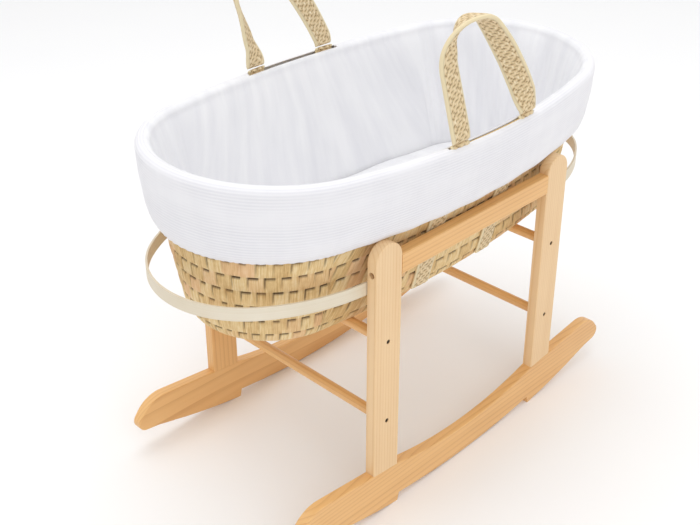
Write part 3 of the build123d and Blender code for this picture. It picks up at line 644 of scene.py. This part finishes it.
def tail(name, side, x, nodes):
    # the strap's end, pressed flat down the outside of the wall and turned in at the foot
    z = np.linspace(0.5782, 0.3270, 320)
    halfL = np.interp(z, basket["zs"], basket["halfL"])
    halfW = np.interp(z, basket["zs"], basket["halfW"])
    r = basket["endRound"] * halfW
    sideR = (halfL ** 2 + halfW ** 2 - 2 * halfL * r) / (2 * (halfW - r))
    tuck = 0.003 * np.clip((z - 0.5735) / 0.005, 0, 1)
    y = halfW - sideR + np.sqrt(sideR ** 2 - x ** 2) + 0.0007 + strap["tail"] / 2 - tuck
    centre = np.stack([np.full_like(z, x), side * y, z], -1)
    step = np.gradient(centre, axis=0)
    step /= np.linalg.norm(step, axis=1)[:, None]
    acrossDir = np.tile([1.0, 0, 0], (len(z), 1))
    slope = -side * x / sideR
    acrossDir[:, 1] = slope
    acrossDir /= np.linalg.norm(acrossDir, axis=1)[:, None]
    throughDir = np.cross(step, acrossDir)
    throughDir *= np.sign(throughDir[:, 1] * side)[:, None]
    along = np.concatenate([[0], np.cumsum(np.linalg.norm(np.diff(centre, axis=0), axis=1))])
    return strapPiece(name, centre, acrossDir, throughDir, along,
                      strap["width"], strap["tail"], basketBody, nodes)


for side, word in ((-1, "Front"), (1, "Back")):
    tail(f"strapEnd{word}Left", side, -strap["footX"], [f"handle_tails_{word.lower()}"])
    tail(f"strapEnd{word}Right", side, strap["footX"], [])

print("cover")
cover = dict(columns=780, hemZ=0.4662, hemL=0.3966, hemW=0.1955, topL=0.4147, topW=0.2197,
             midZ=0.5645, rise=0.011, lipR=0.0106, lipD=-0.0003, slitHalf=0.097,
             skirtCloth=0.0016, liningCloth=0.0030)


def ribbedCotton(name, ribShadeAndBump, streaks, base, shade):
    # soft cotton: fine ribs across the fall of the cloth with painted shade in their troughs, a faint knit,
    # and slow cloudy painted shade standing in for soft folds
    shop = Shop(name)
    v = shop.parts(shop.spot((1, 1, 1), "UV"))[1]
    drift = shop.noise(shop.spot((6, 40, 1), "UV"), 1.0, 3.0, 0.6)
    rib = ((v * (2 * np.pi / 0.0044)) + (drift - 0.5) * 1.6).maths("SINE") * 0.5 + 0.5
    knit = shop.noise(shop.spot((1100, 1100, 1), "UV"), 1.0, 2.0, 0.6)
    broken = shop.noise(shop.spot((9, 26, 1), "UV"), 1.0, 2.0)
    strength = shop.clamp(broken, 0.3, 0.6)
    fall = shop.noise(shop.spot((38, 5, 1), "UV", (0, 0, 0.12)), 1.0, 3.0, 0.55)
    # painted shade: the rib troughs and the slow fold streaks mix the colour towards the shade colour
    shadeHere = shop.clamp(rib * strength * ribShadeAndBump + (knit - 0.5) * 0.2 + (fall - 0.5) * streaks + 0.25)
    color = shop.mix(shadeHere, base, shade)
    return shop.finish(color, 0.9, rib * strength * (-ribShadeAndBump) + knit * 0.2 + fall * streaks * 2.0, 0.0004,
                       Sheen_Weight=0.25, Sheen_Roughness=0.5, Specular_IOR_Level=0.2)


skirtCotton = ribbedCotton("coverCotton", 0.45, 0.35, (0.87, 0.865, 0.885), (0.72, 0.715, 0.76))
# the lining's strong streak setting paints the shade of soft folds into its colour
liningCotton = ribbedCotton("liningCotton", 0.0, 1.6, (0.84, 0.84, 0.855), (0.70, 0.70, 0.74))


def soft(angles, v, seed, waves):
    # slow cloth folds: a sum of travelling waves round the basket, each with its own slant and strength
    dice = np.random.default_rng(seed)
    out = np.zeros((len(v), len(angles)))
    for count, size in waves:
        phase, slant, drift = dice.random(3) * 2 * np.pi
        local = 0.5 + 0.5 * np.sin(angles * (2 + dice.integers(3)) + drift)
        wave = np.sin(count * angles[None, :] + (slant - np.pi) * 2.0 * v[:, None] + phase)
        out += size * local[None, :] * wave
    return out


def lipHeight(x):
    # the rim rises towards the ends
    return cover["midZ"] + cover["rise"] * (x / 0.4147) ** 2


def coverSkirt():
    # from a turned-in hem up the outside to the top of the lip, with soft folds and a gathered hem
    angles = ovalAngles(cover["columns"])
    v = np.linspace(0, 1, 44)
    shapeT = [0.0, 0.03, 0.10, 0.28, 0.70, 1.0]
    shapeK = [0.0, 0.22, 0.42, 0.66, 0.95, 1.0]
    k = np.interp(v, shapeT, shapeK)
    k = np.convolve(np.pad(k, 2, mode="edge"), np.ones(5) / 5, mode="valid")
    halfL = cover["hemL"] + (cover["topL"] - cover["hemL"]) * k
    halfW = cover["hemW"] + (cover["topW"] - cover["hemW"]) * k
    c, s = np.cos(angles), np.sin(angles)
    baseL, baseW = 0.404, 0.209
    x0, y0 = ovalPoints(angles, [baseL], [baseW], [0.0])
    growL, growW = halfL - baseL, halfW - baseW
    x = x0 + c * (growL[:, None] * np.abs(c) ** 2 + growW[:, None] * s ** 2)
    y = y0 + s * (growL[:, None] * np.abs(c) ** 2 + growW[:, None] * s ** 2)
    topZ = lipHeight(x0)
    z = cover["hemZ"] + (topZ - cover["hemZ"]) * v[:, None]
    fold = soft(angles, v, 3, [(5, 0.0010), (9, 0.0009), (14, 0.0006), (23, 0.0004)])
    gather = 0.0007 * np.sin(angles * 96 + 3 * np.sin(angles * 7))[None, :] * np.exp(-v / 0.10)[:, None]
    lift = fold * np.sin(np.pi * np.clip(v, 0, 1))[:, None] + gather
    outer = np.stack([x + c * lift, y + s * lift, z], -1)
    hemDepth = np.array([0.0022, 0.0045, 0.0068, 0.0074])
    hemZ = np.array([-0.0002, 0.0006, 0.0030, 0.0120])
    hem = np.stack([outer[0, :, 0] - c * hemDepth[:, None], outer[0, :, 1] - s * hemDepth[:, None],
                    outer[0, :, 2] + hemZ[:, None]], -1)[::-1]
    a = np.linspace(0, 1, 14)[1:] * np.radians(100)
    lip = cover["lipR"]
    cx, cy = x0 + c * cover["lipD"], y0 + s * cover["lipD"]
    reach = outer[-1, :, 0] * c + outer[-1, :, 1] * s - (cx * c + cy * s)
    across = np.cos(a)[:, None] * reach
    crown = np.stack([cx + c * across, cy + s * across, topZ + lip * np.sin(a)[:, None]], -1)
    points = np.concatenate([hem, outer, crown])
    down = np.concatenate([[0], np.cumsum(np.linalg.norm(np.diff(points, axis=0), axis=2).mean(1))])
    around = girth(angles, 0.562, 0.011)
    return gridMesh("coverSkirt", points, skirtCotton, closeU=True, uv=(around, down))


skirt = coverSkirt()


def cutSlits(obj, halfWide, dLow, dHigh):
    # takes out the faces over the handles' slits
    import bmesh
    bm = bmesh.new()
    bm.from_mesh(obj.data)
    gone = []
    for f in bm.faces:
        m = f.calc_center_median()
        if abs(m.x) < halfWide and m.z > 0.565 and abs(m.y) > 0.15:
            d = abs(m.y) - sideLine(m.x)
            if dLow < d < dHigh:
                gone.append(f)
    bmesh.ops.delete(bm, geom=gone, context="FACES")
    bm.to_mesh(obj.data)
    bm.free()


def sideLine(x, halfL=0.404, halfW=0.209):
    # the wall's outer line at the rim, at a distance x along its side
    r = basket["endRound"] * halfW
    sideR = (halfL ** 2 + halfW ** 2 - 2 * halfL * r) / (2 * (halfW - r))
    return halfW - sideR + np.sqrt(sideR ** 2 - x ** 2)


def coverLining():
    # from the top of the lip over its inner edge, down inside the wall with soft folds, and across the floor
    angles = ovalAngles(cover["columns"])
    c, s = np.cos(angles), np.sin(angles)
    x0, y0 = ovalPoints(angles, [0.404], [0.209], [0.0])
    topZ = lipHeight(x0)
    a = np.linspace(0, 1, 11) * np.radians(95) + np.radians(85)
    lip = cover["lipR"]
    d = cover["lipD"] + lip * np.cos(a)[:, None]
    crown = np.stack([x0 + c * d, y0 + s * d, topZ + lip * np.sin(a)[:, None]], -1)
    v = np.linspace(0, 1, 46)[1:]
    face = -0.0163
    start = cover["lipD"] - lip
    zLow = 0.3300
    z = topZ + (zLow - topZ) * v[:, None]
    grow = face + (start - face) * np.exp(-v / 0.06)
    x, y = wallPoints(angles, (0.567 + (zLow - 0.567) * v), grow)
    fold = soft(angles, v, 11, [(7, 0.0016), (12, 0.0014), (19, 0.0012), (31, 0.0008), (47, 0.0005)])
    sharp = np.sign(fold) * np.abs(fold / 0.003) ** 0.8 * 0.003
    lift = (1.9 * sharp - 0.0005) * (np.sin(np.pi * np.clip(v / 0.80, 0, 1)) ** 0.6)[:, None]
    wallPart = np.stack([x - c * lift, y - s * lift, z + 0 * x], -1)
    inward = np.linspace(0, 1, 6)[1:]
    xf, yf = wallPoints(angles, [zLow] * 5, face - inward * 0.110)
    floor = np.stack([xf, yf, np.full(xf.shape, 0.3286)], -1)
    points = np.concatenate([crown, wallPart, floor])
    down = np.concatenate([[0], np.cumsum(np.linalg.norm(np.diff(points, axis=0), axis=2).mean(1))])
    return gridMesh("coverLining", points, liningCotton, closeU=True, uv=(girth(angles, 0.5, -0.016), down))


lining = coverLining()
for piece, low, high in ((skirt, -0.004, 0.0035), (lining, -0.006, 0.0035)):
    cutSlits(piece, cover["slitHalf"], low, high)
for piece, thick, nodes in (
    (skirt, cover["skirtCloth"], ["cover_skirt"]),
    (lining, cover["liningCloth"], ["cover_liner", "cover_rim_roll"]),
):
    solid = piece.modifiers.new("cloth", "SOLIDIFY")
    solid.thickness, solid.offset = thick, -1.0
    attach(piece, basketBody)
    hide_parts(*nodes)

print("hem elastic")


def hemElastic():
    # a flat ribbed band inside the hem, its surface rippled by the gathers
    n = 900
    angles = ovalAngles(n)
    c, s = np.cos(angles), np.sin(angles)
    x0, y0 = ovalPoints(angles, [0.404], [0.209], [0.0])
    gl, gw = 0.3966 - 0.404, 0.1955 - 0.209
    grow = gl * c ** 2 + gw * s ** 2
    prof = np.array([(-0.0052, 0.4715), (-0.0052, 0.4780), (-0.0066, 0.4780), (-0.0066, 0.4715)])
    ripple = 0.0003 * np.sin(angles * 96)
    d = prof[:, :1] + grow[None, :] + ripple[None, :]
    points = np.stack([x0 + c * d, y0 + s * d, np.broadcast_to(prof[:, 1:], d.shape)], -1)
    obj = gridMesh("hemElastic", points, skirtCotton, closeU=True, closeV=True, smooth=False,
                   uv=(girth(angles, 0.47), np.array([0, 0.0065, 0.008, 0.0145, 0.016])))
    outward(obj)
    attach(obj, basketBody)
    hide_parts("hem_elastic")


hemElastic()

print("mattress")
pad = dict(low=0.3293, top=0.3763, edge=-0.0183, crown=0.007, columns=420)


def mattressPad():
    # a soft pad: rounded edges, sides that draw in between two seams, and a low crown
    angles = ovalAngles(pad["columns"])
    side = [(0.00, -0.060), (0.00, -0.010), (0.012, -0.0045), (0.045, -0.0012), (0.10, -0.0002),
            (0.20, 0.0), (0.35, -0.0022), (0.50, -0.0032), (0.65, -0.0024), (0.80, -0.0002),
            (0.90, -0.0004), (0.965, -0.003), (1.0, -0.0085)]
    body = pad["top"] - pad["low"] - pad["crown"]
    z = [pad["low"] + body * t for t, _ in side]
    grow = [pad["edge"] + g for _, g in side]
    crown = [(0.2, 0.016), (0.42, 0.028), (0.66, 0.045), (0.85, 0.068), (0.96, 0.092), (1.0, 0.116)]
    for rise, inset in crown:
        z.append(pad["low"] + body + pad["crown"] * rise)
        grow.append(pad["edge"] - inset)
    x, y = wallPoints(angles, z, grow)
    level = np.array(z)[:, None] + 0 * x
    x, level = [np.concatenate([v[:1], v, v[-1:]]) for v in (x, level)]
    y = np.concatenate([y[:1] * 0, y, y[-1:] * 0])  # both poles close along the middle
    dimple = 0.0010 * np.sin(x * 46 + 1.3) * np.sin(y * 58 + 0.4) * (level > pad["top"] - 0.012)
    points = np.stack([x, y, level + dimple - 0.001 * (level > pad["top"] - 0.012)], -1)
    down = np.concatenate([[0], np.cumsum(np.linalg.norm(np.diff(points, axis=0), axis=2).mean(1))])
    # the pad's cotton carries the same painted fold shade as the lining
    obj = gridMesh("mattressPad", points, liningCotton, closeU=True, uv=(girth(angles, 0.35, -0.02), down))
    outward(obj)
    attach(obj, "mattress")
    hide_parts("mattress_cover", "mattress_core")


mattressPad()

print("floor, light and camera")


def studio():
    floorShop = Shop("paleFloor")
    tint = floorShop.noise(floorShop.spot(), 3.0, 2.0)
    floorMat = floorShop.finish(floorShop.mix(tint, (0.93, 0.93, 0.94), (0.95, 0.95, 0.95)), 0.6)
    size = 14.0
    corners = np.array([[[-size, -size, 0], [size, -size, 0]], [[-size, size, 0], [size, size, 0]]], float)
    floor = gridMesh("floor", corners, floorMat)
    world = bpy.data.worlds.new("studio")
    bpy.context.scene.world = world
    world.use_nodes = True
    world.node_tree.nodes["Background"].inputs[0].default_value = (1.0, 1.0, 1.0, 1.0)
    world.node_tree.nodes["Background"].inputs[1].default_value = 0.80
    lamps = [("key", (-1.6, -2.6, 3.2), 27, 2.6), ("fill", (2.8, -1.2, 2.2), 10, 3.0),
             ("top", (-0.3, 0.6, 3.6), 44, 3.0)]
    for name, place, power, wide in lamps:
        light = bpy.data.lights.new(name, "AREA")
        light.energy, light.size = power, wide
        lamp = bpy.data.objects.new(name, light)
        lamp.location = place
        lamp.rotation_euler = (Vector((0, 0, 0.35)) - Vector(place)).to_track_quat("-Z", "Y").to_euler()
        bpy.context.scene.collection.objects.link(lamp)
    view = dict(place=(-1.1244, -1.0287, 1.171), yaw=-45.59, pitch=-26.90, lens=55.14, shift=-0.0964)
    cam = bpy.data.cameras.new("camera")
    cam.lens, cam.sensor_width, cam.shift_y, cam.clip_start = view["lens"], 36.0, view["shift"], 0.02
    camera = bpy.data.objects.new("camera", cam)
    camera.location = view["place"]
    camera.rotation_euler = Euler((np.radians(90 + view["pitch"]), 0, np.radians(view["yaw"])), "XYZ")
    bpy.context.scene.collection.objects.link(camera)
    bpy.context.scene.camera = camera
    bpy.context.scene.view_settings.view_transform = "Standard"


studio()
